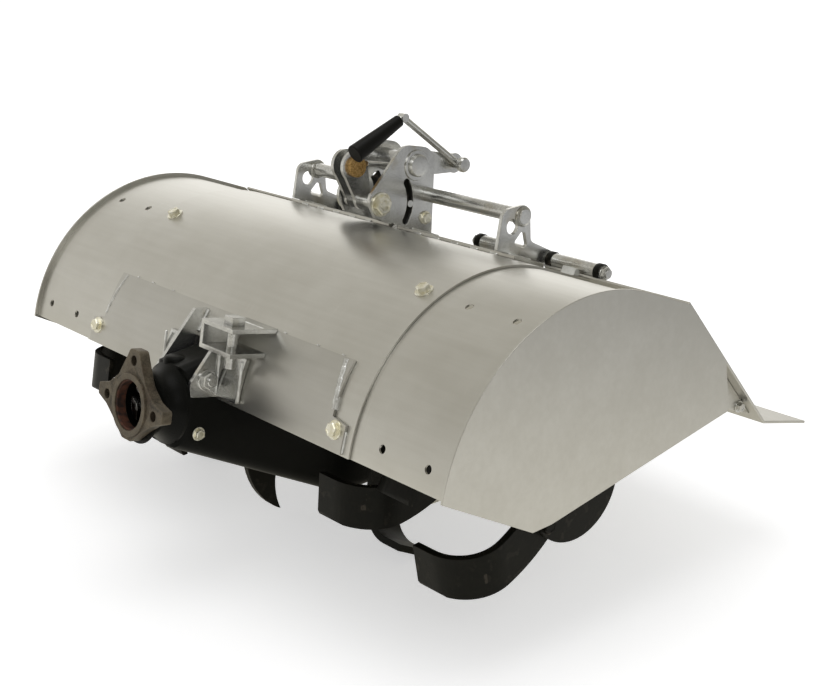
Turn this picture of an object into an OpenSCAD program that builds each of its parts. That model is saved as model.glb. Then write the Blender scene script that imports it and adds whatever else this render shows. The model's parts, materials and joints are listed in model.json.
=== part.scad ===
// Rear rotavator for a walking tractor: adjustable-width hood, tine rotor, gear case,
// hinged rear flap and depth skid.
// The pieces are laid out about the rotor axis: x along the rotor, -y towards the drive
// flange, z up. standing() then sets the machine on its tines and its skid, nose up.

/* [Overall] */
// Width over the two end plates
overall_w = 800; // [740:5:860]
// Angle by which the nose is raised when the machine stands on its skid
nose_up = 10.6; // [6:0.2:14]

/* [Hood] */
// Outer radius of the centre hood about the rotor axis
hood_r = 200; // [194:1:206]
// Width of the centre hood
centre_w = 520; // [480:5:560]
// Thickness of the hood sheets
sheet_t = 2.25; // [2:0.25:3.5]
// Angle of the front lip of the hood, from the rear
lip_a = 178.5; // [174:0.5:182]
// Downward slope of the flat rear part of the hood
rear_slope = 9.5; // [6:0.5:12]
// Length of the flat rear part of the hood
rear_len = 79; // [70:1:90]
// How far an extension reaches under the centre hood
tuck = 70; // [60:1:100]
// Clearance between sheets that lie on each other
lay = 0.3; // [0.2:0.05:0.5]
// Radius of the width-setting holes
set_hole_r = 4.5; // [3.5:0.25:5.5]
// Step between the width-setting holes
set_step = 66; // [60:1:70]
// Inset of the hood bolts from the edge of the centre hood
bolt_inset = 24; // [18:1:36]
// Angle of the lower row of holes above the rotor axis
low_row = 8; // [5:0.5:12]
// Angle of the upper row of holes above the rotor axis
high_row = 56.5; // [50:0.5:60]

/* [End plates] */
// Thickness of an end plate
plate_t = 3; // [2:0.25:5]
// How far an end plate stands proud of the extension sheet
proud = 5; // [3:0.5:8]
// Lowest point of an end plate below the rotor axis
skirt_drop = 36; // [30:1:45]
// Distance from the rotor axis back to the rear corner of an end plate
skirt_back = 203; // [190:1:212]

/* [Rotor] */
// Radius of the circle swept by the tines
tine_r = 165; // [155:1:172]
// Thickness of a tine
tine_t = 8; // [6:0.5:10]
// Width of a tine blade
tine_w = 46; // [38:1:54]
// Reach of a tine's foot along the rotor
foot_len = 78; // [66:1:80]
// Radius of the bend between shank and foot
bend_r = 52; // [40:1:60]
// Radius of the rotor shaft
shaft_r = 20; // [16:0.5:24]
// Radius of a tine flange
flange_r = 62; // [54:1:70]
// Thickness of a tine flange
flange_t = 8; // [6:0.5:10]
// Distance from the middle to the inner tine flanges
inner_x = 64; // [60:1:72]
// Distance from an outer tine flange in to the intermediate one
mid_gap = 141; // [130:1:150]
// Gap between the outer tine flange and the end plate
end_gap = 12; // [9:0.5:20]

/* [Drive] */
// Distance from the hood forward to the face of the drive flange
drive_reach = 92; // [84:1:100]
// Height of the drive axis below the rotor axis
drive_drop = 5; // [0:1:10]
// Radius of the bore in the drive flange
bore_r = 27.3; // [24:0.1:30]
// Radius of the circle through the three lug holes
lug_r = 47.9; // [45:0.1:51]
// Radius of a lug hole
lug_hole_r = 5.5; // [4.5:0.25:6]
// Thickness of the drive flange
drive_t = 14; // [11:0.5:18]
// Outer radius of the neck behind the drive flange
neck_r = 42; // [38:1:46]
// Radius of the gear case about the rotor axis
case_r = 118; // [108:1:124]
// Radius of the gear case at its front end
case_front_r = 47; // [44:1:52]
// Half thickness of the gear case
case_half = 32; // [28:0.5:36]
// Radial clearance of a turning shaft
run = 0.05; // [0.02:0.01:0.09]

/* [Flap] */
// Radius of the hinge tubes
tube_r = 8.5; // [7:0.25:10]
// Radius of the hinge pin
pin_r = 5; // [4:0.25:5.5]
// Distance from the middle to the inner end of the hinge tubes
tube_in = 76; // [70:1:90]
// Distance from the middle to the outer end of the hinge tubes
tube_out = 272; // [250:1:290]
// Thickness of the flap sheet
flap_t = 3; // [2.5:0.25:4]
// Length of the flap sheet down from the hinge
flap_len = 215; // [205:1:225]
// Downward slope of the flap
flap_slope = 38.4; // [35:0.2:41]
// Length of the lip at the foot of the flap
lip_len = 80; // [60:1:90]
// Downward slope of the lip
lip_slope = 3; // [0:0.5:6]

/* [Top gear] */
// Distance from the middle to the side brackets
bracket_x = 187; // [170:1:200]
// Thickness of the bracket and sector plates
gear_t = 5; // [4:0.25:6]
// Radius of the cross tubes
cross_r = 8.5; // [7:0.25:10]
// Half the gap between the sector plates
sector_half = 26; // [22:0.5:30]
// Radius of the lever boss
boss_r = 13; // [11:0.25:15]
// Radius of the front pivot bolt
pivot_r = 6; // [5:0.25:7]
// Radius of the curved slot about the front pivot
slot_arc_r = 44; // [40:0.5:46]
// Half width of the curved slot
slot_r = 4.5; // [4:0.25:5.5]
// Thickness of the base strip
strip_t = 4; // [3:0.25:5]

/* [Skid] */
// Distance from the rotor axis back to the middle of the skid's foot
skid_y = 140; // [125:1:155]
// Length of the skid's foot
skid_len = 100; // [80:1:110]
// Width of the skid's foot
skid_w = 80; // [60:1:100]
// Thickness of the skid's foot and stem
skid_t = 10; // [8:0.5:12]
// Gap between the tines and the skid's stem
skid_gap = 12; // [9:0.5:16]

/* [Hidden] */
$fn = 48;
galvanised = [0.72, 0.70, 0.65];
zinc = [0.78, 0.79, 0.78];
black = [0.06, 0.06, 0.06];
bare_iron = [0.50, 0.43, 0.33];
copper = [0.76, 0.52, 0.25];

half_w = overall_w / 2;
bolt_x = centre_w / 2 - bolt_inset;
big = 600;
sunk = 0.5;
ext_r = hood_r - sheet_t - lay;
plate_r = ext_r + proud;
tangent_a = 90 - rear_slope;
rear_top = polar(hood_r, tangent_a) + rear_len * [sin(tangent_a), -cos(tangent_a)];
hinge = rear_top + [2, tube_r + 2.5];
front_plate_t = 3;
flange_foot = 38;
cheek_in = case_half + lay;
cheek_out = cheek_in + gear_t;
front_r = hood_r + lay + front_plate_t;
drive_y = hood_r + drive_reach;
neck_back = drive_y - 46;
drive_z = -drive_drop;
clevis_at = [-front_r - 18, 29];
boss_at = rear_top + [-73, 90];
pivot_at = rear_top + [-119, 42];
cross_at = rear_top + [-49, 57];
slot_from = -23;
slot_to = 38;
slot_pin_at = pivot_at + polar(slot_arc_r, 4);
disc_at = rear_top + [-137, 80];
lever_end = rear_top + [3, 95];
outer_x = half_w - plate_t - end_gap - tine_t - flange_t / 2;
mid_x = outer_x - mid_gap;
flap_d = [cos(flap_slope), -sin(flap_slope)];
flap_n = [sin(flap_slope), cos(flap_slope)];
rest_gap = 0.5;
flap_top = hinge - (tube_r + lay) * flap_n;
flap_under = flap_top - flap_t * flap_n;
flap_seat = flap_under - rest_gap * flap_n;
flap_end = flap_top + flap_len * flap_d;
lip_end = flap_end + lip_len * [cos(lip_slope), -sin(lip_slope)];
front_reach = cos(nose_up) * drive_y + sin(nose_up) * (drive_drop + flange_foot);
rear_reach = cos(nose_up) * lip_end[0] + sin(nose_up) * lip_end[1];
mid_y = (rear_reach - front_reach) / 2;

// A point at radius r and angle a
function polar(r, a) = [r * cos(a), r * sin(a)];
// Points on an arc about c from a0 to a1
function arc(c, r, a0, a1, steps) = [for (i = [0 : steps]) c + polar(r, a0 + (a1 - a0) * i / steps)];
// Direction of a vector
function unit(v) = v / norm(v);
// Half the angle at corner p between its neighbours a and b
function half_angle(p, a, b) = acos(unit(a - p) * unit(b - p)) / 2;
// Centre of the arc that rounds a corner
function arc_centre(p, a, b, r) = p + r / sin(half_angle(p, a, b)) * unit(unit(a - p) + unit(b - p));
// Where that arc touches the side from p to q
function arc_touch(p, a, b, q, r) = p + r / tan(half_angle(p, a, b)) * unit(q - p) - arc_centre(p, a, b, r);
// Direction of a vector as an angle
function angle_of(v) = atan2(v[1], v[0]);
// An angle brought between -180 and 180
function half_turn(a) = a - 360 * round(a / 360);
// Points round a corner
function corner(p, a, b, r) = r == 0 ? [p] : let (
    a0 = angle_of(arc_touch(p, a, b, a, r)),
    turn = half_turn(angle_of(arc_touch(p, a, b, b, r)) - a0),
    steps = ceil(abs(turn) / 12))
    [for (i = [0 : steps]) arc_centre(p, a, b, r) + polar(r, a0 + turn * i / steps)];

// An outline with each corner rounded by its own radius
module rounded(pts, radii) polygon(let (n = len(pts))
    [for (i = [0 : n - 1]) each corner(pts[i], pts[(i + n - 1) % n], pts[(i + 1) % n], radii[i])]);

// Sets the machine on the floor as it stands
module standing() translate([0, -mid_y, tine_r]) rotate([-nose_up, 0, 0]) children();

// A side-view outline carried along the rotor from x0 to x1
module along_x(x0, x1) translate([x0, 0, 0]) rotate([90, 0, 90]) linear_extrude(x1 - x0) children();

// A round bar or hole along the rotor at a point of the side view
module bar_x(at, r, x0, x1) translate([x0, at[0], at[1]]) rotate([0, 90, 0]) cylinder(r = r, h = x1 - x0);

// The frame of the flat rear part of the hood: y down the slope, z away from it
module on_slope() translate([0, polar(hood_r, tangent_a)[0], polar(hood_r, tangent_a)[1]])
    rotate([-rear_slope, 0, 0]) children();

// The wedge of the side view between two angles
module wedge(a0, a1) polygon([[0, 0], polar(big, a0), polar(big, (a0 + a1) / 2), polar(big, a1)]);

// Side view of a hood sheet with outer radius r: an arc and the flat rear part that leaves it
hood_cut = 5;
module hood_outline(r) {
    back = (rear_len - hood_cut) * [sin(tangent_a), -cos(tangent_a)];
    polygon(concat(arc([0, 0], r, lip_a, tangent_a, 32), [polar(r, tangent_a) + back, polar(r - sheet_t, tangent_a) + back],
        arc([0, 0], r - sheet_t, tangent_a, lip_a, 32)));
}

// Radial holes through the hood front at a list of places along the rotor
module row_holes(xs, r)
    for (x = xs, a = [low_row, high_row])
        translate([x, 0, 0]) rotate([90 - a, 0, 0]) cylinder(r = r, h = big / 2);

// Opening of the hood front round the gear case
module case_notch() translate([-cheek_in, -big, -big]) cube([2 * cheek_in, big, big + 62]);

module centre_hood() color(galvanised) standing() difference() {
    along_x(-centre_w / 2, centre_w / 2) hood_outline(hood_r);
    case_notch();
    row_holes([-bolt_x, bolt_x], set_hole_r);
    translate([-skid_t / 2 - 3, polar(hood_r, tangent_a)[0] - 2, 0]) cube([skid_t + 6, 40, big]);
}

// One hood extension on the right, which slides under the centre hood
module hood_extension() difference() {
    along_x(centre_w / 2 - tuck, half_w - plate_t) hood_outline(ext_r);
    row_holes([bolt_x : set_step : half_w - plate_t - 3 * set_hole_r], set_hole_r);
}

module hood_extension_right() color(galvanised) standing() hood_extension();
module hood_extension_left() color(galvanised) standing() mirror([1, 0, 0]) hood_extension();

// Side view of an end plate
module end_outline() {
    top = polar(plate_r, tangent_a);
    back = unit([sin(tangent_a), -cos(tangent_a)]);
    rise = (top - flap_seat) * flap_n / (back * flap_n);
    shoulder = top - rise * back;
    notch = flap_seat + (skirt_back - 20 - flap_seat[0]) / flap_d[0] * flap_d;
    intersection() {
        circle(plate_r, $fn = 96);
        wedge(tangent_a, lip_a + 0.4);
    }
    rounded([polar(plate_r, lip_a + 0.4), [-77, -skirt_drop], [-52, -skirt_drop + 6],
        [skirt_back, 71], notch, shoulder, top, polar(60, 130)],
        [0, 0, 0, 4, 0, 7, 0, 0]);
}

module end_plate_right() color(galvanised) standing() along_x(half_w - plate_t, half_w) end_outline();
module end_plate_left() color(galvanised) standing() along_x(-half_w, plate_t - half_w) end_outline();

// Stiffening plate on the hood front, wider at its foot where it is bolted
module front_plate() color(galvanised) standing() difference() {
    intersection() {
        along_x(-centre_w / 2, centre_w / 2) intersection() {
            difference() {
                circle(front_r, $fn = 96);
                circle(hood_r + lay, $fn = 96);
            }
            wedge(152, lip_a - 0.5);
        }
        rotate([90, 0, 0]) linear_extrude(big)
            polygon([[-centre_w / 2 + 10, 0], [centre_w / 2 - 10, 0], [centre_w / 2 - 10, 36],
                [centre_w / 2 - 33, 40], [centre_w / 2 - 46, big], [-centre_w / 2 + 46, big],
                [-centre_w / 2 + 33, 40], [-centre_w / 2 + 10, 36]]);
    }
    case_notch();
    row_holes([-bolt_x, bolt_x], set_hole_r);
}

// Side view of a clevis cheek, cut to the curve of the front plate
module cheek_outline() difference() {
    rounded([[24 - front_r, 92], [4 - front_r, 92], [-front_r - 39, 24], [-front_r - 36, 10], [14 - front_r, 10]],
        [0, 0, 12, 3, 0]);
    circle(front_r + lay, $fn = 96);
    translate(clevis_at) circle(pivot_r + run);
}

// A cheek on the right with the foot that lies on the front plate
cheek_foot = 38;
foot_low = 12;
module clevis_cheek() {
    along_x(cheek_in, cheek_out) cheek_outline();
    along_x(cheek_out - 1, cheek_out + cheek_foot) intersection() {
        difference() {
            circle(front_r + 2 * lay + gear_t, $fn = 96);
            circle(front_r + 2 * lay, $fn = 96);
        }
        translate([-big, foot_low]) square([big, strap_low - 6 - foot_low]);
    }
}

module clevis_cheek_right() color(zinc) standing() clevis_cheek();
module clevis_cheek_left() color(zinc) standing() mirror([1, 0, 0]) clevis_cheek();

module clevis_bolt() color(zinc) standing() {
    bar_x(clevis_at, pivot_r, -cheek_out - 8, cheek_out + 8);
    for (x = [-cheek_out - 7, cheek_out])
        bar_x(clevis_at, 10, x, x + 7, $fn = 6);
}

// Strap beside the right cheek whose two ears hold the hitch pin
strap_x = cheek_out + lay;
strap_len = 58;
strap_front = front_r + 33;
strap_low = 66;
strap_high = 97;
hitch_at = [strap_x + 34, -front_r - 15];
module hitch_strap() color(zinc) standing() difference() {
    union() {
        for (z = [strap_low, strap_high - gear_t])
            translate([strap_x, -strap_front, z]) cube([strap_len, 60, gear_t]);
        translate([strap_x, -strap_front, strap_low]) cube([gear_t, 60, strap_high - strap_low]);
    }
    bar_x([0, 0], front_r + lay, 0, big, $fn = 96);
    translate([hitch_at[0], hitch_at[1], 0]) cylinder(r = pivot_r + run, h = big);
}

module hitch_pin() color(zinc) standing() translate([hitch_at[0], hitch_at[1], 0]) {
    translate([0, 0, strap_low - 16]) cylinder(r = pivot_r, h = strap_high - strap_low + 17);
    translate([-8, -8, strap_high]) cube([16, 16, 9]);
}

// Gear case: a flat drop from the rotor forward to the drive, cut flat where the neck bolts on
case_front = [-(neck_back - 15), drive_z];
module case_outline() {
    d = case_front;
    span = norm(d);
    tilt = asin((case_r - case_front_r) / span);
    lean = atan2(d[1], d[0]);
    sides = [lean - 90 + tilt, lean + 90 - tilt];
    intersection() {
        union() {
            circle(case_r, $fn = 96);
            translate(d) circle(case_front_r, $fn = 96);
            polygon([polar(case_r, sides[0]), d + polar(case_front_r, sides[0]),
                d + polar(case_front_r, sides[1]), polar(case_r, sides[1])]);
        }
        translate([-neck_back, -big / 2]) square([big, big]);
    }
}

module gear_case() color(black) standing() difference() {
    union() {
        along_x(-case_half, case_half) case_outline();
        bar_x([0, 0], shaft_r + 22, -case_half - 10, case_half + 10);
    }
    bar_x([0, 0], shaft_r + run, -big, big);
    bar_x(clevis_at, pivot_r + run, -big, big);
    translate([0, -neck_back, drive_z]) rotate([-90, 0, 0]) cylinder(r = 12 + run, h = 60);
}

// The drive axis: z forward along the drive, from the face of the drive flange
module on_drive() translate([0, -drive_y, drive_z]) rotate([90, 0, 0]) children();

module drive_neck() color(black) standing() on_drive() translate([0, 0, -drive_y + neck_back])
    difference() {
        cylinder(r = neck_r, h = drive_y - neck_back - drive_t);
        cylinder(r = bore_r + 2, h = big);
    }

// Drive flange: a raised ring round the bore, two square lugs, a round one on top and a plain foot
ring_up = 2;
lug_side = [[lug_r + 18, 9], [lug_r - 2, 14], [28, 27], [13, lug_r + 4], [9, lug_r + 12]];
foot_side = [[9, -flange_foot], [27, -24], [lug_r - 1, -11], [lug_r + 18, -4]];
module drive_flange() color(bare_iron) standing() on_drive() translate([0, 0, -drive_t])
    difference() {
        union() {
            linear_extrude(drive_t - ring_up)
                rounded(concat(lug_side, [for (i = [4 : -1 : 0]) [-lug_side[i][0], lug_side[i][1]]],
                    [for (i = [3 : -1 : 0]) [-foot_side[i][0], foot_side[i][1]]], foot_side),
                    [3, 8, 12, 8, 6, 6, 8, 12, 8, 3, 3, 8, 12, 5, 5, 12, 8, 3]);
            cylinder(r = bore_r + 6.5, h = drive_t);
        }
        translate([0, 0, -1]) cylinder(r = bore_r, h = big);
        for (a = [0, 90, 180])
            translate([lug_r * cos(a), lug_r * sin(a), -1]) cylinder(r = lug_hole_r, h = big);
    }

// Dog on the input shaft, with three jaws facing the tractor
module input_dog() color(black) standing() on_drive() {
    translate([0, 0, -drive_y + neck_back - 58]) cylinder(r = 12, h = 80);
    difference() {
        translate([0, 0, -drive_y + neck_back + 6]) cylinder(r = 21, h = drive_y - neck_back - drive_t - 8);
        translate([0, 0, -drive_t - 16]) cylinder(r = 9, h = big);
        for (a = [30, 150, 270])
            rotate(a) translate([6, -6, -drive_t - 14]) cube([big, 12, big]);
    }
}

module rotor_shaft() color(black) standing()
    bar_x([0, 0], shaft_r, -outer_x - flange_t / 2 - tine_t, outer_x + flange_t / 2 + tine_t);

// Profile of a tine along the rotor: straight shank, bend and foot, foot face at height h
module tine_profile(h) polygon(concat([[0, 0]], arc([bend_r, h - bend_r], bend_r, 180, 90, 14),
    [[foot_len, h], [foot_len, h - tine_t]], arc([bend_r, h - bend_r], bend_r - tine_t, 90, 180, 14), [[tine_t, 0]]));

// Side view of a tine: a sabre that sweeps back from its shank
sweep_r = 170;
module tine_outline() intersection() {
    translate([flange_r, -sweep_r]) difference() {
        circle(sweep_r + tine_w / 2, $fn = 96);
        circle(sweep_r - tine_w / 2, $fn = 96);
    }
    translate([shaft_r + 6, -big / 4]) square([big, big / 2]);
}

// Turn of a tine set that stands on the leading edge of one foot
ground_phase = nose_up + 3.2;

// One tine that points along y, its foot turned towards +x
foot_lean = 30;
module tine() intersection() {
    along_x(0, foot_len) tine_outline();
    rotate([-foot_lean, 0, 0]) translate([0, 0, -big / 2]) linear_extrude(big)
        tine_profile(tine_r * cos(foot_lean - 4));
    bar_x([0, 0], tine_r, -1, foot_len + 1, $fn = 96);
}

// A flat hooked claw beside the gear case
claw_top = [55, 52];
claw_throat = [58.8, 106.8];
module claw() along_x(0, tine_t) intersection() {
    polygon(concat([[shaft_r + 6, 22], [shaft_r + 6, -22]], arc(claw_top, 92, -53, 27, 12),
        arc(claw_throat, 80, -8, -70, 10)));
    circle(tine_r, $fn = 96);
}

// A flange with pairs of tines; each pair has its angle and the side that its feet point to
module tine_set(x, pairs, claws = [], claw_side = 1) color(black) standing() translate([x, 0, 0]) difference() {
    union() {
        bar_x([0, 0], flange_r, -flange_t / 2, flange_t / 2);
        for (pair = pairs, half = [0, 180])
            rotate([pair[0] + half, 0, 0])
                mirror([pair[1] < 0 ? 1 : 0, 0, 0])
                    translate([flange_t / 2 - sunk, 0, 0]) tine();
        for (a = claws, half = [0, 180])
            rotate([a + half, 0, 0])
                mirror([claw_side < 0 ? 1 : 0, 0, 0])
                    translate([flange_t / 2 - sunk, 0, 0]) claw();
    }
    bar_x([0, 0], shaft_r + run, -big, big);
}

module tine_set_left_outer() tine_set(-outer_x, [[30, 1]]);
module tine_set_left_middle() tine_set(-mid_x, [[ground_phase + 90, -1], [48, 1]]);
module tine_set_left_inner() tine_set(-inner_x, [[135, -1]], [45], 1);
module tine_set_right_inner() tine_set(inner_x, [[ground_phase + 90, 1]], [150], -1);
module tine_set_right_middle() tine_set(mid_x, [[36, -1], [12, 1]]);
module tine_set_right_outer() tine_set(outer_x, [[50, -1]]);

// Side view of the flap: a straight sheet under the hinge tubes and an outward lip
module flap_outline() polygon([flap_top - 2 * flap_d, flap_end, lip_end, lip_end - [0, flap_t],
    flap_under + (flap_len + flap_t * tan((flap_slope - lip_slope) / 2)) * flap_d, flap_under - 2 * flap_d]);

module rear_flap() color(galvanised) standing() difference() {
    along_x(-half_w + 2, half_w - 2) flap_outline();
    for (x = [-bracket_x, bracket_x])
        translate([x - 5, 0, 0]) cube([10, hinge[0] + 8, big]);
}

// Side view of the web that closes the end of the flap
module flap_cheek_outline() polygon([flap_under + 112 * flap_d - lay * flap_n,
    flap_under + (flap_len - 13) * flap_d - lay * flap_n, flap_end - [62, -14]]);

cheek_x = half_w - plate_t - 12;
module flap_cheek_right() color(galvanised) standing() along_x(cheek_x - gear_t / 2, cheek_x) flap_cheek_outline();
module flap_cheek_left() color(galvanised) standing() along_x(-cheek_x, -cheek_x + gear_t / 2) flap_cheek_outline();

// Hinge tubes on the flap, a pair at each side bracket
module hinge_tubes() color(zinc) standing()
    for (side = [-1, 1], span = [[tube_in, bracket_x - 5], [bracket_x + 5, tube_out]])
        let (x0 = min(side * span[0], side * span[1]), x1 = max(side * span[0], side * span[1]))
            difference() {
                bar_x(hinge, tube_r, x0, x1);
                bar_x(hinge, pin_r + run, x0 - 1, x1 + 1);
            }

module hinge_pins() color(zinc) standing()
    for (x = [-tube_out - 8, tube_in - 8])
        bar_x(hinge, pin_r, x, x + tube_out - tube_in + 16);

module base_strip() color(galvanised) standing() on_slope() difference() {
    translate([-bracket_x - 18, 8, lay]) cube([2 * bracket_x + 36, 50, strip_t]);
    translate([-skid_t / 2 - 3, 0, 0]) cube([skid_t + 6, 40, big]);
}

// The half plane above the base strip
module above_strip() translate(rear_top) rotate(-rear_slope)
    translate([-big / 2, strip_t + 2 * lay]) square(big);

// Side view of a side bracket: two eyes, a teardrop window and the arm that holds the hinge pin
lug = tube_r - 0.7;
// A point on top of the base strip, y measured from the hood's rear edge
function on_strip(y) = rear_top + [y, (strip_t + 2 * lay) / cos(rear_slope) - y * tan(rear_slope)];
module bracket_outline() difference() {
    rounded([on_strip(-81), rear_top + [-80, 62], rear_top + [-41, 72], rear_top + [-31, 30],
        hinge + [lug, lug], hinge + [lug, -lug], on_strip(-27)], [0, 12, 12, 8, lug - 0.1, lug - 0.1, 0]);
    translate(rear_top + [-63, 45]) circle(8.5);
    translate(cross_at) circle(cross_r + run);
    translate(hinge) circle(pin_r + run);
    rounded([for (v = [[-59, 25], [-34, 21], [-42, 39], [-48, 40]]) rear_top + v], [4, 4, 2, 2]);
}

module side_bracket_right() color(zinc) standing()
    along_x(bracket_x - gear_t / 2, bracket_x + gear_t / 2) bracket_outline();
module side_bracket_left() color(zinc) standing()
    along_x(-bracket_x - gear_t / 2, -bracket_x + gear_t / 2) bracket_outline();

// Tubes from the sector plates out through the side brackets
module cross_tubes() color(zinc) standing()
    for (x = [-bracket_x - 6, sector_half + gear_t])
        bar_x(cross_at, cross_r, x, x + bracket_x + 6 - sector_half - gear_t);

// Side view of a sector plate with its boss, pivot and curved slot
module sector_outline() difference() {
    intersection() {
        rounded([for (v = [[-103, -4], [-33, -4], [-48, 112], [-97, 112], [-139, 46]]) rear_top + v],
            [0, 0, 20, 20, 14]);
        above_strip();
    }
    translate(boss_at) circle(boss_r + run);
    translate(pivot_at) circle(pivot_r + run);
    polygon(concat(arc(pivot_at, slot_arc_r + slot_r, slot_from, slot_to, 8),
        arc(pivot_at + polar(slot_arc_r, slot_to), slot_r, slot_to + 15, slot_to + 165, 8),
        arc(pivot_at, slot_arc_r - slot_r, slot_to, slot_from, 8),
        arc(pivot_at + polar(slot_arc_r, slot_from), slot_r, slot_from + 195, slot_from + 345, 8)));
}

module sector_plate_right() color(zinc) standing()
    along_x(sector_half, sector_half + gear_t) sector_outline();
module sector_plate_left() color(zinc) standing()
    along_x(-sector_half - gear_t, -sector_half) sector_outline();

module boss_pin() color(zinc) standing()
    bar_x(boss_at, boss_r, -sector_half - gear_t - 3, sector_half + gear_t + 3);

module pivot_bolt() color(zinc) standing() {
    bar_x(pivot_at, pivot_r, -sector_half - gear_t - 8, sector_half + gear_t + 8);
    for (x = [-sector_half - gear_t - 7, sector_half + gear_t])
        bar_x(pivot_at, 10, x, x + 7, $fn = 6);
}

module slot_pin() color(zinc) standing()
    bar_x(slot_pin_at, slot_r - lay, -sector_half - gear_t - 1, sector_half + gear_t + 1);

// Side view of a rocker arm, from its pivot up to the disc
module rocker_outline() difference() {
    union() {
        translate(disc_at) circle(18);
        translate(pivot_at) circle(11);
        polygon([pivot_at + [-10, -2], pivot_at + [10, 4], disc_at + [17, 6], disc_at + [-17, -6]]);
    }
    translate(pivot_at) circle(pivot_r + run);
}

module rocker_arms() color(zinc) standing()
    for (x = [-sector_half + 2, -6])
        along_x(x, x + gear_t) rocker_outline();

module rocker_disc() color(copper) standing() bar_x(disc_at, 12, -1, 4);

module link_rod() color(zinc) standing()
    translate([3, disc_at[0] + 12.2, disc_at[1] + 5]) rotate([-90, 0, 0]) cylinder(r = 3.5, h = 38.6);

// Arm on the boss that carries the bent lever
module lever_outline() difference() {
    union() {
        translate(boss_at) circle(boss_r + 6);
        translate(lever_end) circle(12);
        polygon([boss_at + [0, boss_r + 4], boss_at - [0, boss_r + 4], lever_end - [0, 11], lever_end + [0, 11]]);
    }
    translate(boss_at) circle(boss_r + run);
}

module lever_arm() color(zinc) standing() along_x(8, 8 + gear_t) lever_outline();

lever_top = rear_top + [-92, 142];
grip_end = rear_top + [-156, 95];
// A round bar between two points of the side view
module bar_between(a, b, r0, r1) translate([18, a[0], a[1]])
    rotate([atan2(a[0] - b[0], b[1] - a[1]), 0, 0]) cylinder(r1 = r0, r2 = r1, h = norm(b - a));

module lever_rod() color(zinc) standing() {
    bar_between(lever_end, lever_top, 4, 4);
    bar_between(lever_top, lever_top + 16 * unit(grip_end - lever_top), 4, 4);
    bar_x(lever_end, 6, 8 + gear_t + lay, 24);
    bar_x(lever_top, 5, 13, 23);
}

module lever_grip() color(black) standing() difference() {
    bar_between(lever_top + 6 * unit(grip_end - lever_top), grip_end, 7, 11);
    bar_between(lever_top, lever_top + 17 * unit(grip_end - lever_top), 4 + run, 4 + run);
}

// Depth skid: a stem bent round the back of the rotor, on a flat foot
module depth_skid() color(zinc) standing() {
    inner = tine_r + skid_gap;
    top_a = 72;
    low_a = -20;
    along_x(-skid_t / 2, skid_t / 2) difference() {
        polygon(concat(arc([0, 0], inner + 14, low_a, top_a, 24), [slot_pin_at + [12, 14], slot_pin_at + [-10, 14]],
            arc([0, 0], inner, top_a, low_a, 24), [[150, -134], [172, -134]]));
        translate(slot_pin_at) circle(slot_r);
    }
    rotate([nose_up, 0, 0]) translate([-skid_w / 2, skid_y - skid_len / 2, -tine_r])
        cube([skid_w, skid_len, skid_t]);
}

centre_hood();
hood_extension_left();
hood_extension_right();
end_plate_left();
end_plate_right();
front_plate();
clevis_cheek_left();
clevis_cheek_right();
clevis_bolt();
hitch_strap();
hitch_pin();
gear_case();
drive_neck();
drive_flange();
input_dog();
rotor_shaft();
tine_set_left_outer();
tine_set_left_middle();
tine_set_left_inner();
tine_set_right_inner();
tine_set_right_middle();
tine_set_right_outer();
rear_flap();
flap_cheek_left();
flap_cheek_right();
hinge_tubes();
hinge_pins();
base_strip();
side_bracket_left();
side_bracket_right();
cross_tubes();
sector_plate_left();
sector_plate_right();
boss_pin();
pivot_bolt();
slot_pin();
rocker_arms();
rocker_disc();
link_rod();
lever_arm();
lever_rod();
lever_grip();
depth_skid();
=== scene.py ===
"""Looks of a rear rotavator for a walking tractor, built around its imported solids."""
import json
import math

import bmesh
import bpy
from mathutils import Matrix, Vector


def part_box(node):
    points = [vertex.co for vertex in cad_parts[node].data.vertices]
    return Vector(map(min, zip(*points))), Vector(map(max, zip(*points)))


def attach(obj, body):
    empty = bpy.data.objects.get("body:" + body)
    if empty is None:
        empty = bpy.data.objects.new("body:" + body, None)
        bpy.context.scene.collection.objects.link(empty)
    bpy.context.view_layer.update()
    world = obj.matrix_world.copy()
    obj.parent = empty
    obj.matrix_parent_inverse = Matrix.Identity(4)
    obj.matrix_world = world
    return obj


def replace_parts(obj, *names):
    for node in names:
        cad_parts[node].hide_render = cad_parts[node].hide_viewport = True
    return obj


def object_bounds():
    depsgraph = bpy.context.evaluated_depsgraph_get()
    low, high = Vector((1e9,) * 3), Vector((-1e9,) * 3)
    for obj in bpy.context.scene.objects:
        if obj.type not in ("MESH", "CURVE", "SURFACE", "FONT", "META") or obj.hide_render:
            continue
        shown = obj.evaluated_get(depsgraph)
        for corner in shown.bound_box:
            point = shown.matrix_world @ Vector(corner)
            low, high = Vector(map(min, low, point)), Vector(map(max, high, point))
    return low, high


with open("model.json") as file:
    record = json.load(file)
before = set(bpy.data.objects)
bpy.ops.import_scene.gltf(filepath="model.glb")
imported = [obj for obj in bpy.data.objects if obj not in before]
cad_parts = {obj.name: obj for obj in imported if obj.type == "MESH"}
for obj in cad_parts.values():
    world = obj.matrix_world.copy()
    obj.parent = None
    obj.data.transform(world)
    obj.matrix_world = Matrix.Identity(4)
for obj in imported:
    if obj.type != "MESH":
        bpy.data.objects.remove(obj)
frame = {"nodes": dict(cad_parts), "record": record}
cad_low, cad_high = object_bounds()

# The machine's own frame: millimetres about the rotor axis, -y towards the drive flange
joints = {j["name"]: j for j in frame["record"]["behaviour"]["joints"]}
mounts = {m["name"]: m for m in frame["record"]["mounts"]}
rotor_axis = Vector(joints["rotor_spin"]["pos_m"])
drive_out = Vector(mounts["drive_bore"]["axis"]).normalized()
nose_up = math.asin(drive_out.z)
lean = Matrix.Rotation(-nose_up, 3, "X")


def at(x, y, z):
    """A point of the machine's own frame, in the row frame."""
    return rotor_axis + lean @ Vector((x, y, z)) / 1000


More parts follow.
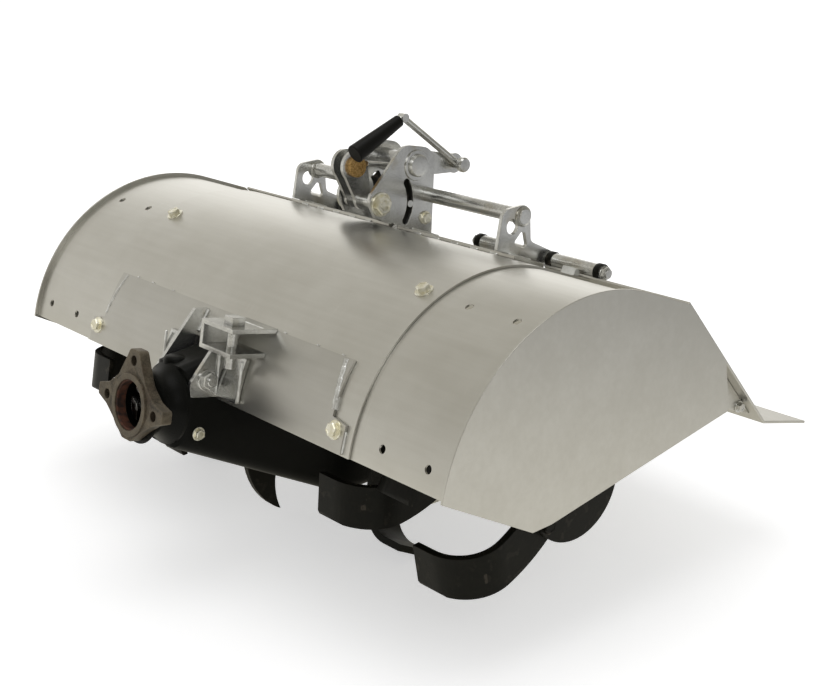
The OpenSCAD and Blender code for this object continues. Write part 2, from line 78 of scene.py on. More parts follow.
def facing(x, y, z):
    """A direction of the machine's own frame, in the row frame."""
    return (lean @ Vector((x, y, z))).normalized()


# Sizes that the trim is placed by, in millimetres and degrees; pairs are y and z on the machine
hood_r, front_r = 200, 203.3
bolt_x, low_row, high_row = 236, 8, 56.5
flat_from = 80.5
rear_slope = math.radians(9.5)
plate_top = 28.1
end_weld_x, end_weld_r = 396.6, 194.8
cheek_in, cheek_out, clevis = 31.5, 37.3, (-221.3, 29)
case_half, case_r, case_front_r = 32, 118, 47
case_front, neck_back, drive_z = (-231, -5), 246, -5
bracket_x, bracket_eye = 187, (61.93, 241.22)
tube_in, tube_out = 76, 272
sector_in, sector_out = 25.7, 31
boss, pivot, lever_end = (37.9, 274.2), (-8.07, 226.2), (113.9, 279.2)
slot_in, slot_out = 37.6, 50.4
flap_top = Vector((0, 107.46, 188.32))
flap_down, flap_out = Vector((0, 0.7837, -0.6211)), Vector((0, 0.6211, 0.7837))
flap_web_x = 385.1
strip_front, strip_back = 7.6, 58.4
cover_bolts_r = 66
shaft_r, tine_flange_half, tine_face = 20, 4, 11.6
tine_bolt_spots = ((36, -2), (52, -0.3))
same_curve = 0.985


class Wire:
    """A socket whose arithmetic adds Math nodes."""

    def __init__(self, finish, socket):
        self.finish, self.socket = finish, socket

    def _math(self, operation, first, second):
        return self.finish.node("ShaderNodeMath", {"operation": operation}, {0: first, 1: second})

    def __add__(self, other):
        return self._math("ADD", self, other)

    def __radd__(self, other):
        return self._math("ADD", other, self)

    def __mul__(self, other):
        return self._math("MULTIPLY", self, other)

    def __rmul__(self, other):
        return self._math("MULTIPLY", other, self)


class Finish:
    """A material, or the world, built from nodes round its one shader."""

    def __init__(self, name, world=None):
        self.material = world or bpy.data.materials.new(name)
        self.material.use_nodes = True
        self.tree = self.material.node_tree
        self.shader = self.tree.nodes["Background" if world else "Principled BSDF"]
        self.place = self.node("ShaderNodeTexCoord", output="Generated" if world else "Object")

    def node(self, kind, settings=None, sockets=None, output=0):
        made = self.tree.nodes.new(kind)
        for key, value in (settings or {}).items():
            if key == "stops":
                for stop, (spot, colour) in zip(made.color_ramp.elements, value):
                    stop.position, stop.color = spot, colour
            else:
                setattr(made, key, value)
        for key, value in (sockets or {}).items():
            self.plug(made.inputs[key], value)
        return Wire(self, made.outputs[output])

    def plug(self, socket, value):
        if isinstance(value, Wire):
            self.tree.links.new(value.socket, socket)
        elif hasattr(value, "__len__") and len(value) == 3 and socket.type == "RGBA":
            socket.default_value = (*value, 1)
        else:
            socket.default_value = value

    def set(self, **sockets):
        for key, value in sockets.items():
            self.plug(self.shader.inputs[key.replace("_", " ")], value)
        return self

    def noise(self, scale, detail=3, stretch=(1, 1, 1), rough=0.5):
        spot = self.node("ShaderNodeMapping", {}, {"Vector": self.place, "Scale": stretch}, "Vector")
        return self.node("ShaderNodeTexNoise", {}, {"Vector": spot, "Scale": scale, "Detail": detail,
                                                    "Roughness": rough}, "Fac")

    def band(self, value, low, high):
        """A smooth step from 0 at low to 1 at high."""
        return self.node("ShaderNodeMapRange", {"interpolation_type": "SMOOTHSTEP"},
                         {"Value": value, "From Min": low, "From Max": high}, "Result")

    def mix(self, factor, first, second):
        return self.node("ShaderNodeMix", {"data_type": "RGBA"},
                         {"Factor": factor, 6: first, 7: second}, 2)

    def bump(self, height, distance, strength=1.0):
        return self.node("ShaderNodeBump", {}, {"Height": height, "Distance": distance,
                                                "Strength": strength}, "Normal")

    def ray(self, *kinds):
        """1 for a ray of one of these kinds, as Light Path names them."""
        met = 0
        for kind in kinds:
            met = self.node("ShaderNodeMath", {"operation": "MAXIMUM"},
                            {0: met, 1: self.node("ShaderNodeLightPath", output=kind)})
        return met

    def edges(self, low, high):
        """Where the surface turns outward sharply."""
        return self.band(self.node("ShaderNodeNewGeometry", output="Pointiness"), low, high)


def galvanised(name, dull, bright):
    f = Finish(name)
    cloud = f.noise(3.2, 3)
    mottle = f.noise(26, 4)
    grain = f.noise(150, 3, (0.06, 1, 1))
    scratch = f.band(f.noise(60, 2, (14, 0.6, 0.6)), 0.66, 0.74) * f.band(f.noise(7, 2), 0.45, 0.6)
    tone = f.band(0.5 * cloud + 0.28 * mottle + 0.22 * grain, 0.3, 0.7)
    clean = f.mix(tone, dull, bright)
    f.set(Base_Color=f.mix(0.35 * scratch, clean, (0.72, 0.71, 0.67)), Metallic=0.88,
          Roughness=0.25 + 0.11 * cloud + 0.06 * mottle,
          Normal=f.bump(0.9 * cloud + 0.10 * mottle + 0.012 * grain, 0.0012, 0.35))
    return f.material


def zinc_plate():
    f = Finish("zinc_plate")
    cloud = f.noise(24, 4)
    fine = f.noise(420, 3)
    stain = f.band(f.noise(34, 4), 0.56, 0.72)
    tone = f.band(0.65 * cloud + 0.35 * fine, 0.32, 0.68)
    clean = f.mix(tone, (0.49, 0.49, 0.48), (0.74, 0.745, 0.73))
    f.set(Base_Color=f.mix(0.45 * stain, clean, (0.42, 0.375, 0.28)), Metallic=0.95,
          Roughness=0.15 + 0.16 * cloud, Normal=f.bump(0.7 * cloud + 0.3 * fine, 0.0004, 0.4))
    return f.material


def yellow_zinc():
    f = Finish("yellow_zinc")
    cloud = f.noise(150, 3)
    f.set(Base_Color=f.mix(f.band(cloud, 0.35, 0.65), (0.74, 0.70, 0.53), (0.93, 0.91, 0.80)), Metallic=0.7,
          Roughness=0.14 + 0.16 * cloud, Normal=f.bump(cloud, 0.0003, 0.4))
    return f.material


def black_paint():
    f = Finish("black_paint")
    cloud = f.noise(18, 4)
    fine = f.noise(300, 3)
    chips = f.edges(0.53, 0.58) * f.band(f.noise(90, 3), 0.56, 0.66)
    dust = f.band(f.noise(70, 6, rough=0.7), 0.40, 0.80)
    coat = f.mix(0.5 * dust, f.mix(cloud, (0.0035, 0.0036, 0.0024), (0.008, 0.0080, 0.0054)), (0.016, 0.0145, 0.009))
    f.set(Base_Color=f.mix(0.5 * chips, coat, (0.10, 0.085, 0.065)), Specular_IOR_Level=0.13,
          Roughness=0.32 + 0.2 * cloud, Normal=f.bump(0.6 * cloud + 0.4 * fine, 0.0005, 0.4))
    return f.material


def case_paint():
    f = Finish("case_paint")
    cloud = f.noise(14, 4)
    sand = f.noise(600, 4)
    f.set(Base_Color=f.mix(cloud, (0.002, 0.0024, 0.002), (0.0065, 0.0068, 0.0055)), Specular_IOR_Level=0.10,
          Roughness=0.28 + 0.2 * cloud, Normal=f.bump(0.35 * cloud + 0.65 * sand, 0.0006, 0.5))
    return f.material


def bare_casting():
    f = Finish("bare_casting")
    cloud = f.noise(75, 6, rough=0.65)
    sand = f.noise(520, 4)
    stain = f.band(f.noise(48, 4), 0.48, 0.66)
    worn = f.edges(0.50, 0.56)
    clean = f.mix(f.band(0.7 * cloud + 0.3 * sand, 0.34, 0.68), (0.022, 0.017, 0.011), (0.150, 0.122, 0.082))
    rusty = f.mix(0.6 * stain, clean, (0.045, 0.024, 0.013))
    f.set(Base_Color=f.mix(0.55 * worn, rusty, (0.24, 0.205, 0.15)), Metallic=0.55,
          Roughness=0.40 + 0.22 * cloud, Normal=f.bump(0.5 * cloud + 0.5 * sand, 0.0012, 0.6))
    return f.material


def copper_face():
    f = Finish("copper_face")
    dots = f.noise(520, 2)
    f.set(Base_Color=f.mix(f.band(dots, 0.4, 0.6), (0.40, 0.225, 0.065), (0.72, 0.47, 0.19)), Metallic=0.7,
          Roughness=0.34 + 0.2 * dots, Normal=f.bump(dots, 0.0005, 0.7))
    return f.material


def moulded_grip():
    f = Finish("moulded_grip")
    sand = f.noise(900, 3)
    f.set(Base_Color=f.mix(sand, (0.003, 0.003, 0.003), (0.010, 0.010, 0.008)), Roughness=0.36 + 0.15 * sand,
          Specular_IOR_Level=0.16, Normal=f.bump(sand, 0.0002, 0.4))
    return f.material


def weld_metal():
    f = Finish("weld_metal")
    cloud = f.noise(70, 3)
    f.set(Base_Color=f.mix(f.band(cloud, 0.35, 0.65), (0.66, 0.66, 0.64), (0.88, 0.89, 0.88)), Metallic=0.8,
          Roughness=0.30 + 0.2 * cloud, Normal=f.bump(cloud, 0.0003, 0.3))
    return f.material


def greased_steel():
    f = Finish("greased_steel")
    cloud = f.noise(95, 4)
    grease = f.band(f.noise(60, 3), 0.42, 0.56)
    f.set(Base_Color=f.mix(grease, f.mix(cloud, (0.42, 0.43, 0.43), (0.72, 0.73, 0.73)), (0.012, 0.010, 0.008)),
          Metallic=0.9, Roughness=0.16 + 0.22 * cloud, Normal=f.bump(0.6 * cloud + 0.4 * grease, 0.0008, 0.5))
    return f.material


def rust_ring():
    f = Finish("rust_ring")
    cloud = f.noise(150, 4)
    f.set(Base_Color=f.mix(f.band(cloud, 0.35, 0.65), (0.018, 0.008, 0.005), (0.10, 0.034, 0.016)),
          Roughness=0.6 + 0.25 * cloud, Normal=f.bump(cloud, 0.0004, 0.6))
    return f.material


GALVANISED = galvanised("galvanised_sheet", (0.545, 0.533, 0.490), (0.635, 0.626, 0.588))
PLATE = galvanised("galvanised_plate", (0.475, 0.465, 0.43), (0.555, 0.547, 0.515))
ZINC, YELLOW = zinc_plate(), yellow_zinc()
BLACK, CASE, CASTING = black_paint(), case_paint(), bare_casting()
COPPER, GRIP, WELD, RUST = copper_face(), moulded_grip(), weld_metal(), rust_ring()
OWN_FINISH = {"front_plate": PLATE, "input_dog": greased_steel()}
SLOT_FINISH = {"galvanised": GALVANISED, "zinc": ZINC, "black": BLACK, "case_casting": CASE,
               "bare_iron": CASTING, "copper": COPPER, "grip": GRIP}


def round_hood(o):
    """Shade the rolled hood sheets as a true curve that runs into the flat rear part."""
    mesh = o.data
    upright = lean.transposed()
    turn = o.matrix_world.to_3x3().normalized()
    normals = []
    for face in mesh.polygons:
        out = upright @ (turn @ face.normal)
        for corner in face.loop_indices:
            spot = upright @ (o.matrix_world @ mesh.vertices[mesh.loops[corner].vertex_index].co - rotor_axis)
            angle = max(math.atan2(spot.z, spot.y), math.radians(flat_from))
            rolled = Vector((0, math.cos(angle), math.sin(angle)))
            close = out.dot(rolled)
            shown = rolled * math.copysign(1, close) if abs(close) > same_curve else out
            normals.append(turn.transposed() @ (lean @ shown))
    mesh.normals_split_custom_set(normals)


def dress_solids():
    """Give every solid its finish, and all but the hood sheets a small rounded edge."""
    edge = {"drive_flange": 1.6, "lever_grip": 3.5, "rotor_shaft": 1.5,
            "hitch_strap": 1.0, "depth_skid": 1.5}
    for part in frame["record"]["subparts"]:
        o = frame["nodes"][part["node"]]
        o.data.materials.clear()
        o.data.materials.append(OWN_FINISH.get(part["node"]) or SLOT_FINISH[part["material_slot"]])
        o.data.shade_smooth()
        if "hood" in part["node"]:
            round_hood(o)
            continue
        weld = o.modifiers.new("join", "WELD")
        weld.merge_threshold = 0.00002
        flat = o.modifiers.new("flat", "DECIMATE")
        flat.decimate_type = "DISSOLVE"
        flat.angle_limit = math.radians(0.4)
        bevel = o.modifiers.new("edge", "BEVEL")
        bevel.width = edge.get(part["node"], 0.5) / 1000
        bevel.segments = 3 if part["node"] in edge else 2
        bevel.limit_method = "ANGLE"
        bevel.angle_limit = math.radians(35)
        bevel.use_clamp_overlap = True
        normal = o.modifiers.new("shade", "WEIGHTED_NORMAL")
        normal.keep_sharp = True


def turned(bm, profile, place, axis, sides=24, phase=0.0):
    """Revolve (radius, height) points, in millimetres, about an axis of the row frame, as a closed solid."""
    turn = axis.to_track_quat("Z", "Y").to_matrix()
    hollow = profile[0][0] > 0 and profile[-1][0] > 0
    if profile[0][0] > 0 and not hollow:
        profile = [(0, profile[0][1]), *profile]
    rings = []
    for radius, height in profile:
        if radius == 0:
            rings.append([bm.verts.new(place + turn @ Vector((0, 0, height / 1000)))])
            continue
        rings.append([bm.verts.new(place + turn @ Vector((
            radius * math.cos(phase + 2 * math.pi * i / sides) / 1000,
            radius * math.sin(phase + 2 * math.pi * i / sides) / 1000, height / 1000))) for i in range(sides)])
    for low, high in zip(rings, rings[1:] + rings[:1] if hollow else rings[1:]):
        for i in range(sides):
            j = (i + 1) % sides
            corners = [low[i % len(low)], low[j % len(low)], high[j % len(high)], high[i % len(high)]]
            bm.faces.new(list(dict.fromkeys(corners)))


def skin(bm, rings, closed=False):
    """Join rings of corners with faces, then cap the two ends, or join the last ring to the first."""
    count = len(rings[0])
    for a, b in zip(rings, rings[1:] + rings[:1] if closed else rings[1:]):
        for i in range(count):
            j = (i + 1) % count
            bm.faces.new((a[i], a[j], b[j], b[i]))
    if not closed:
        bm.faces.new(rings[0])
        bm.faces.new(rings[-1])


def hex_bolt(bm, place, axis, across=13.0, head=5.5, washer=10.0, phase=0.0):
    """A washer and a chamfered hexagon head standing on a surface."""
    r = across / math.sqrt(3)
    turned(bm, [(0, 0), (washer, 0), (washer, 1.2), (washer - 0.4, 1.6), (0, 1.6)], place, axis)
    turned(bm, [(0, 1.6), (r, 1.6), (r, head + 0.6), (r * 0.88, head + 1.6), (r * 0.62, head + 1.6),
                (r * 0.58, head + 1.2), (0, head + 1.2)], place, axis, 6, phase)


def weld_bead(bm, path, radius=2.2, pitch=0.9, sides=10):
    """A rippled round bead along a path of row-frame points, half sunk in what it joins."""
    length = sum((b - a).length for a, b in zip(path, path[1:])) * 1000
    steps = max(4, int(length / pitch))
    spots = []
    for n in range(steps + 1):
        reach = length * n / steps / 1000
        for a, b in zip(path, path[1:]):
            span = (b - a).length
            if reach <= span + 1e-9:
                spots.append(a.lerp(b, reach / span))
                break
            reach -= span
    rings = []
    for n, spot in enumerate(spots):
        ahead = spots[min(n + 1, steps)] - spots[max(n - 1, 0)]
        across = ahead.cross(Vector((0.31, 0.52, 0.79))).normalized()
        up = across.cross(ahead).normalized()
        size = radius * (0.9 + 0.04 * math.sin(1.9 * n) + 0.06 * math.sin(0.53 * n + 1)) / 1000
        size *= 0.45 if n in (0, steps) else 1
        rings.append([bm.verts.new(spot + size * (math.cos(t) * across + math.sin(t) * up)) for t in
                      (math.tau * i / sides for i in range(sides))])
    skin(bm, rings)


def add(name, bm, finish, body, sharp=35):
    """Make the mesh a piece that rides on a body."""
    bmesh.ops.recalc_face_normals(bm, faces=bm.faces)
    mesh = bpy.data.meshes.new(name)
    bm.to_mesh(mesh)
    bm.free()
    mesh.shade_smooth()
    mesh.set_sharp_from_angle(angle=math.radians(sharp))
    mesh.materials.append(finish)
    piece = bpy.data.objects.new(name, mesh)
    bpy.context.scene.collection.objects.link(piece)
    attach(piece, body)
    return piece


def hood_point(x, angle, r):
    """A point at an angle up from the hood's front, r from the rotor axis."""
    a = math.radians(angle)
    return at(x, -r * math.cos(a), r * math.sin(a))


def hood_normal(angle):
    """The way out of the hood at that angle."""
    a = math.radians(angle)
    return facing(0, -math.cos(a), math.sin(a))


def hood_bolts():
    """Two bolts at each side, through the front plate and the hood sheets."""
    bm = bmesh.new()
    for side in (-1, 1):
        hex_bolt(bm, hood_point(side * bolt_x, low_row, front_r - 0.1), hood_normal(low_row), phase=0.3)
        hex_bolt(bm, hood_point(side * bolt_x, high_row, hood_r - 0.1), hood_normal(high_row), phase=0.7 + side)
    add("hood_bolts", bm, YELLOW, "frame")


def front_plate_welds():
    """A few tacks along the top of the front plate and a broad bead down each sloping end."""
    bm = bmesh.new()
    for x in (-196, -163, -118, 104, 161, 203):
        weld_bead(bm, [hood_point(x + d, plate_top, hood_r + 1.2) for d in (0, 3.4)], 1.9)
    for side, radius in ((-1, 2.6), (1, 4.2)):
        run = ((214, 27.6), (217.5, 24), (220.5, 20), (223.5, 16.2), (226, 12.8))
        weld_bead(bm, [hood_point(side * x, a, hood_r + 3.6 - 0.55 * radius) for x, a in run], radius)
        weld_bead(bm, [hood_point(side * 250.2, a, hood_r + 1.0) for a in (2.4, 8.6)], 1.3)
    add("front_plate_welds", bm, WELD, "frame")


def clevis_fasteners():
    """Washers and nuts on the clevis bolt, and the clip under the hitch pin."""
    bm = bmesh.new()
    for side in (-1, 1):
        place = at(side * (cheek_out + 0.1), *clevis)
        turned(bm, [(5.5, 0), (11.6, 0), (11.6, 1.5), (11.1, 2.0), (8.5, 2.0)], place, facing(side, 0, 0), 36)
        turned(bm, [(9, 1.8), (9.8, 1.8), (9.8, 7), (8.6, 8.3), (5.6, 8.3), (5.3, 7.8)], place, facing(side, 0, 0), 6,
               0.35)
        turned(bm, [(5.2, 6), (5.2, 10.4), (4.5, 11), (0, 11)], place, facing(side, 0, 0), 24)
    turned(bm, [(6, 0), (9.6, 0), (9.6, 1.5), (6, 1.5)], at(71.6, -218.3, 62.6), facing(0, 0, 1), 28)
    add("clevis_fasteners", bm, ZINC, "frame")


def clevis_welds():
    """Welds round the cheeks' feet and round the hitch strap."""
    bm = bmesh.new()
    for side in (-1, 1):
        weld_bead(bm, [hood_point(side * cheek_in, a, front_r + 0.9) for a in (19, 23, 26.5)], 2.1)
        weld_bead(bm, [hood_point(side * 38.4, a, front_r + 0.9) for a in (18.5, 22, 26.5)], 2.3)
        weld_bead(bm, [at(side * 38.6, -209.4, z) for z in (14, 34, 58)], 1.8)
        weld_bead(bm, [at(side * 75.8, -206, z) for z in (14, 30, 44, 58)], 1.8)
    weld_bead(bm, [at(43.6, -235, 66.4), at(43.6, -205, 66.4)], 1.6)
    weld_bead(bm, [at(x, -196, 96) for x in (42, 92)], 1.9)
    weld_bead(bm, [at(x, -200.5, 66) for x in (44, 92)], 1.7)
    add("clevis_welds", bm, WELD, "frame")


def slope_point(x, along, up=0.0):
    """A point on the flat rear part of the hood."""
    start = (hood_r * math.sin(rear_slope), hood_r * math.cos(rear_slope))
    return at(x, start[0] + along * math.cos(rear_slope) + up * math.sin(rear_slope),
              start[1] - along * math.sin(rear_slope) + up * math.cos(rear_slope))


def top_gear_welds():
    """Welds at the feet of the brackets and sector plates, and along both edges of the base strip."""
    bm = bmesh.new()
    for side in (-1, 1):
        for x, start, end in ((bracket_x - 3, 14, 50), (bracket_x + 3, 14, 50),
                              (sector_in - 0.2, 10, 54), (sector_out + 0.5, 10, 54)):
            weld_bead(bm, [slope_point(side * x, along, 4.6) for along in (start, end)], 1.7)
        for n in range(5):
            x = side * (40 + n * 32)
            for along in (strip_back, strip_front):
                weld_bead(bm, [slope_point(x + d, along, 1.0) for d in (0, side * 12)], 1.5)
    add("top_gear_welds", bm, WELD, "frame")


def hinge_ends():
    """Black rings at the tube ends, the nuts on the pins and the stops on the hood."""
    centre = Vector(joints["flap_hinge"]["pos_m"])
    rings, nuts, stops = bmesh.new(), bmesh.new(), bmesh.new()
    for side in (-1, 1):
        out = Vector((side, 0, 0))
        for x in (tube_in + 3, bracket_x - 9, bracket_x + 9, tube_out - 4):
            turned(rings, [(8.4, -4), (9.3, -4), (9.6, -3.5), (9.6, 3.5), (9.3, 4), (8.4, 4)],
                   centre + Vector((side * x / 1000, 0, 0)), out, 32)
        for x, way in ((tube_out + 0.4, side), (tube_in - 0.4, -side)):
            hex_bolt(nuts, centre + Vector((side * x / 1000, 0, 0)), Vector((way, 0, 0)), 13, 4.5, 8.0, 0.2)
        outline = [(92, 187.6), (101, 186.1), (102.4, 192), (99, 195), (95, 195)]
        ends = [[stops.verts.new(at(side * x, y, z)) for y, z in outline] for x in (228, 229, 247, 248)]
        for end in (ends[0], ends[-1]):
            for corner in end:
                corner.co = corner.co.lerp(sum((v.co for v in end), Vector()) / len(end), 0.12)
        skin(stops, ends)
    add("hinge_rings", rings, BLACK, "flap")
    add("hinge_nuts", nuts, ZINC, "frame")
    add("hinge_stops", stops, WELD, "frame", 20)


def straight(a, b, steps=14):
    """The points between two points of an outline."""
    return [tuple(p + (q - p) * n / steps for p, q in zip(a, b)) for n in range(1, steps)]


def case_casting():
    """The gear case with cast round edges, its shaft bosses and the waisted neck up to the drive flange."""
    bm = bmesh.new()
    edge_r, bore_r = 15, shaft_r + 0.4
    span = math.hypot(*case_front)
    forward = math.atan2(case_front[1], case_front[0])
    wrap = math.pi / 2 - math.asin((case_r - case_front_r) / span)
    front_turn = [forward - wrap + 2 * wrap * n / 36 for n in range(37)]
    back_turn = [forward + wrap + (math.tau - 2 * wrap) * n / 60 for n in range(61)]
    rings = []
    fillet = [math.pi / 2 * n / 8 for n in range(9)]
    for side, steps in ((-1, fillet[::-1]), (1, fillet)):
        for t in steps:
            x, inset = side * (case_half - edge_r + edge_r * math.sin(t)), edge_r * (1 - math.cos(t))
            nose = [(case_front[0] + (case_front_r - inset) * math.cos(a),
                     case_front[1] + (case_front_r - inset) * math.sin(a)) for a in front_turn]
            drum = [((case_r - inset) * math.cos(a), (case_r - inset) * math.sin(a)) for a in back_turn]
            spots = nose + straight(nose[-1], drum[0]) + drum + straight(drum[-1], nose[0])
            rings.append([bm.verts.new(at(x, max(y, inset - neck_back), z)) for y, z in spots])
    # The last outline is the flat side's; the shaft's bore has a point for each of its points
    turns = [math.atan2(z, max(y, edge_r - neck_back)) for y, z in spots]
    for x in (case_half, -case_half):
        rings.append([bm.verts.new(at(x, bore_r * math.cos(t), bore_r * math.sin(t))) for t in turns])
    skin(bm, rings, closed=True)
    for side in (-1, 1):
        turned(bm, [(bore_r, -2), (45, -2), (43.4, 0.6), (42, 3), (42, 8.4), (40.4, 10), (bore_r, 10)],
               at(side * case_half, 0, 0), facing(side, 0, 0), 64)
    neck = [(44.6, -3), (44.6, 0), (41.4, 2.6), (38.4, 6.4), (36, 11), (34.9, 16), (35.2, 21), (37, 25.6), (40, 29.4),
            (42, 31.8), (29.3, 31.8), (29.3, -3)]
    turned(bm, neck, at(0, -neck_back, drive_z), facing(0, -1, 0), 72)
    filler_boss = [(0, 0), (15.5, 0), (13.6, 4), (13, 9), (11.8, 12), (9, 13.6), (0, 14)]
    turned(bm, filler_boss, at(-6, -234, 32.6), facing(0, -0.1, 1), 40)
    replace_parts(add("case_casting", bm, CASE, "frame", 40), "gear_case", "drive_neck")


def drive_trim():
    """Rust ring in the drive bore, and the screws and round covers on the gear case."""
    face = Vector(mounts["drive_face"]["pos_m"])
    bore = Vector(mounts["drive_bore"]["pos_m"])
    centre = bore + drive_out * (face - bore).dot(drive_out)
    bm = bmesh.new()
    turned(bm, [(27.25, -12), (27.25, -1.6), (26.4, -1.6), (25.6, -2.6), (25.4, -12)], centre, drive_out, 64)
    add("bore_ring", bm, RUST, "frame")
    screws = bmesh.new()
    for side in (-1, 1):
        hex_bolt(screws, at(side * (case_half + 0.1), -221, -32), facing(side, 0, 0), 10, 4.5, 7.6, 0.4)
    add("case_screws", screws, YELLOW, "frame")
    caps = bmesh.new()
    for side in (-1, 1):
        for n in range(8):
            a = math.radians(22.5 + 45 * n)
            place = at(side * (case_half + 0.1), cover_bolts_r * math.cos(a), cover_bolts_r * math.sin(a))
            hex_bolt(caps, place, facing(side, 0, 0), 10, 4, 7.4, n)
        cover = [(43, -0.2), (59, -0.2), (59, 3), (57.5, 4), (45, 4), (43, 3)]
        turned(caps, cover, at(side * case_half, 0, 0), facing(side, 0, 0), 72)
    add("case_side_covers", caps, CASE, "frame")


# Each tine flange: its place along the rotor, and the angle and side of each pair bolted to it
tine_pairs = {"left_outer": (-373, [(30, 1)]), "left_middle": (-232, [(103.8, -1), (48, 1)]),
              "left_inner": (-64, [(135, -1), (45, 1)]), "right_inner": (64, [(103.8, 1), (150, -1)]),
              "right_middle": (232, [(36, -1), (12, 1)]), "right_outer": (373, [(50, -1)])}


def tine_bolts():
    """Two bolts through each tine with nuts behind the flange, and the flange's weld to the shaft."""
    bolts, beads = bmesh.new(), bmesh.new()
    weld_r = shaft_r + 0.6
    for x, pairs in tine_pairs.values():
        for start, side in pairs:
            for angle in (start, start + 180):
                a = math.radians(angle)
                for r, aside in tine_bolt_spots:
                    y = r * math.cos(a) - aside * math.sin(a)
                    z = r * math.sin(a) + aside * math.cos(a)
                    hex_bolt(bolts, at(x + side * tine_face, y, z), facing(side, 0, 0), 15, 6, 9.4, a)
                    behind = x - side * (tine_flange_half + 0.1)
                    hex_bolt(bolts, at(behind, y, z), facing(-side, 0, 0), 15, 6, 9.4, a + 0.4)
        for face in (-tine_flange_half - 0.6, tine_flange_half + 0.6):
            ring = [at(x + face, weld_r * math.cos(t), weld_r * math.sin(t)) for t in
                    (math.tau * n / 24 for n in range(25))]
            weld_bead(beads, ring, 1.7, 2.4)
    add("tine_bolts", bolts, BLACK, "rotor")
    add("flange_welds", beads, BLACK, "rotor")


def lever_trim():
    """Lever knob, boss caps, pivot nuts, bracket collars, and black strips behind the curved slots that paint in the
    shade seen through them.
    """
    bm, yellow, shade_strips = bmesh.new(), bmesh.new(), bmesh.new()
    turned(bm, [(0, 0), (8, 0), (9, 1), (9, 6), (7.5, 8), (0, 8)], at(24, *lever_end), facing(1, 0, 0), 24)
    for side in (1, -1):
        turned(bm, [(0, 0), (12.6, 0), (13.2, 0.8), (13.2, 1.6), (11.8, 3), (9, 3.4), (0, 3.4)],
               at(side * (sector_out + 2.8), *boss), facing(side, 0, 0), 40)
        turned(bm, [(13.1, 0), (18, 0), (18, 1.2), (17.4, 1.8), (13.1, 1.8)], at(side * sector_out, *boss),
               facing(side, 0, 0), 40)
        outside = at(side * (sector_out + 0.1), *pivot)
        turned(yellow, [(6, 0), (14, 0), (14, 1.7), (13.3, 2.2), (10, 2.2)], outside, facing(side, 0, 0), 36)
        turned(yellow, [(11, 2), (11.7, 2), (11.7, 6.4), (10.2, 7.6), (6.4, 7.6), (6.1, 7.2), (6.1, 9), (5, 9.6),
                        (0, 9.6)], outside, facing(side, 0, 0), 6, 0.2)
        hex_bolt(yellow, at(side * (sector_out + 0.1), 62, 214), facing(side, 0, 0), 11, 4.5, 8, 0.9)
        # Painted shade: black strips set just behind the curved slots, so the slots read dark inside instead of
        # see-through.
        arc = [math.radians(-27 + 69 * n / 20) for n in range(21)]
        section = ((slot_in, sector_in), (slot_out, sector_in), (slot_out, sector_in - 1), (slot_in, sector_in - 1))
        rings = [[shade_strips.verts.new(at(side * x, pivot[0] + r * math.cos(t), pivot[1] + r * math.sin(t)))
                  for r, x in section] for t in arc]
        skin(shade_strips, rings)
        for x in (bracket_x - 2.6, bracket_x + 2.6):
            way = 1 if x > bracket_x else -1
            turned(bm, [(8.6, 0), (11.4, 0), (11.4, 1), (10, 2.2), (8.6, 2.4)],
                   at(side * x, *bracket_eye), facing(side * way, 0, 0), 32)
    add("lever_trim", bm, ZINC, "frame")
    add("pivot_nuts", yellow, YELLOW, "frame")
    add("slot_shade_strips", shade_strips, BLACK, "frame")


def flap_trim():
    """Screws and welds on the flap's end webs, and the welds under its hinge tubes."""
    screws, beads = bmesh.new(), bmesh.new()
    for side in (-1, 1):
        hex_bolt(screws, at(side * flap_web_x, 240, 70), facing(side, 0, 0), 9, 4, 7, 0.5)
        for step in range(4):
            a = flap_top - 3.3 * flap_out + (118 + 21 * step) * flap_down
            b = a + 8 * flap_down
            weld_bead(beads, [at(side * (flap_web_x - 3.3), *spot.yz) for spot in (a, b)], 1.5)
        for x in (92, 120, 150, 210, 238, 262):
            spot = flap_top + 7.5 * flap_down + 1.2 * flap_out
            weld_bead(beads, [at(side * (x - 5), *spot.yz), at(side * (x + 5), *spot.yz)], 1.6)
    add("flap_screws", screws, ZINC, "flap")
    add("flap_welds", beads, WELD, "flap")


def end_plate_tacks():
    """Short welds where the hood extensions meet the end plates, on the inside."""
    bm = bmesh.new()
    for side in (-1, 1):
        for angle in range(8, 96, 11):
            weld_bead(bm, [hood_point(side * end_weld_x, angle + d, end_weld_r) for d in (0, 1.5, 3)], 1.4)
    add("end_plate_tacks", bm, WELD, "frame")


def skid_trim():
    """Weld round the stem where it stands on the skid's foot."""
    bm = bmesh.new()
    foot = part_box("depth_skid")[0].z + 0.0104
    for x in (-5.4, 5.4):
        a, b = at(x, 151, -134), at(x, 171, -134)
        a.z = b.z = foot
        weld_bead(bm, [a, b], 2.2)
    add("skid_welds", bm, WELD, "frame")


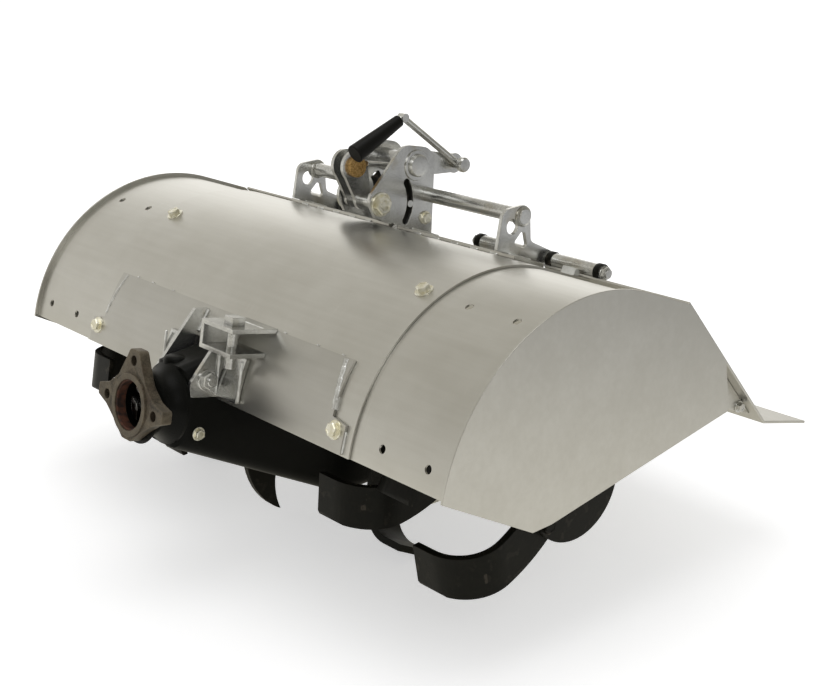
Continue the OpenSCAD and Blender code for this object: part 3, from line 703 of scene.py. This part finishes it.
def studio():
    """White floor that keeps the shadow, soft light and the camera at the photograph's angle."""
    scene = bpy.context.scene
    scene.view_settings.view_transform = "Standard"
    floor = Finish("white_floor")
    speck = floor.noise(3, 2)
    reach = floor.node("ShaderNodeVectorMath", {"operation": "LENGTH"}, {0: floor.place}, "Value")
    lift = floor.mix(floor.band(reach, 0.30, 0.9), (0.52, 0.52, 0.52), (0.72, 0.72, 0.72))
    # Painted reflection: the floor glows warm grey for glossy rays only, brightest near the machine and fading out
    # towards the right and back, so the metal mirrors a lit floor.
    behind = floor.node("ShaderNodeVectorMath", {"operation": "DOT_PRODUCT"}, {0: floor.place, 1: (0.76, 0.65, 0)},
                        "Value")
    glossy_glow = floor.mix(floor.band(behind, 0.45, 1.8), (0.36, 0.335, 0.26), (0, 0, 0))
    shown = floor.mix(floor.ray("Is Camera Ray", "Is Transmission Ray"), (0, 0, 0), lift)
    floor.set(Base_Color=floor.mix(speck, (0.80, 0.80, 0.80), (0.83, 0.83, 0.83)), Roughness=0.85,
              Specular_IOR_Level=0.1, Emission_Strength=1.0,
              Emission_Color=floor.mix(floor.ray("Is Glossy Ray"), shown, glossy_glow))
    bm = bmesh.new()
    bmesh.ops.create_circle(bm, cap_ends=True, segments=64, radius=30)
    mesh = bpy.data.meshes.new("floor")
    bm.to_mesh(mesh)
    bm.free()
    mesh.materials.append(floor.material)
    ground = bpy.data.objects.new("floor", mesh)
    ground.location.z = cad_low.z - 0.0005
    scene.collection.objects.link(ground)

    scene.world = bpy.data.worlds.new("studio")
    room = Finish("studio", scene.world)
    window_side = room.node("ShaderNodeVectorMath", {"operation": "DOT_PRODUCT"},
                            {0: room.place, 1: (-0.90, 0.10, -0.45)}, "Value")
    dim = room.mix(room.band(window_side, -0.75, 0.25), (0.26, 0.25, 0.21), (0.50, 0.48, 0.42))
    glossy_glow = room.mix(room.band(window_side, 0.30, 0.66), dim, (0.90, 0.88, 0.83))
    plain = room.mix(room.ray("Is Camera Ray", "Is Transmission Ray"), (0.42, 0.42, 0.42), (1, 1, 1))
    room.set(Color=room.mix(room.ray("Is Glossy Ray"), plain, glossy_glow), Strength=1.0)

    centre = (cad_low + cad_high) / 2
    for name, place, size, power in (("window", (-2.5, 2.1, 0.85), (3.8, 1.7), 11.5),
                                     ("ceiling", (0.2, -0.3, 3.2), (2.6, 2.6), 30),
                                     ("side", (2.4, -1.4, 1.6), (1.2, 1.2), 7)):
        lamp = bpy.data.lights.new(name, "AREA")
        lamp.shape = "ELLIPSE" if name != "window" else "RECTANGLE"
        lamp.size, lamp.size_y = size
        lamp.energy = power
        holder = bpy.data.objects.new(name, lamp)
        holder.location = centre + Vector(place)
        holder.rotation_euler = (centre - holder.location).to_track_quat("-Z", "Y").to_euler()
        scene.collection.objects.link(holder)

    # The camera as it was fitted to points of the machine
    lens = bpy.data.cameras.new("camera")
    lens.sensor_width = 36
    lens.lens = 61.354
    camera = bpy.data.objects.new("camera", lens)
    right, up, back = (Vector((0.650807, 0.759238, -0.002811)), Vector((-0.226233, 0.197454, 0.95385)),
                       Vector((0.724755, -0.620136, 0.300269)))
    camera.matrix_world = Matrix.Translation(rotor_axis + Vector((1.28089, -0.977495, 0.56382))) @ Matrix(
        (right, up, back)).transposed().to_4x4()
    scene.collection.objects.link(camera)
    scene.camera = camera


dress_solids()
hood_bolts()
front_plate_welds()
clevis_fasteners()
clevis_welds()
top_gear_welds()
hinge_ends()
case_casting()
drive_trim()
tine_bolts()
lever_trim()
flap_trim()
end_plate_tacks()
skid_trim()
studio()
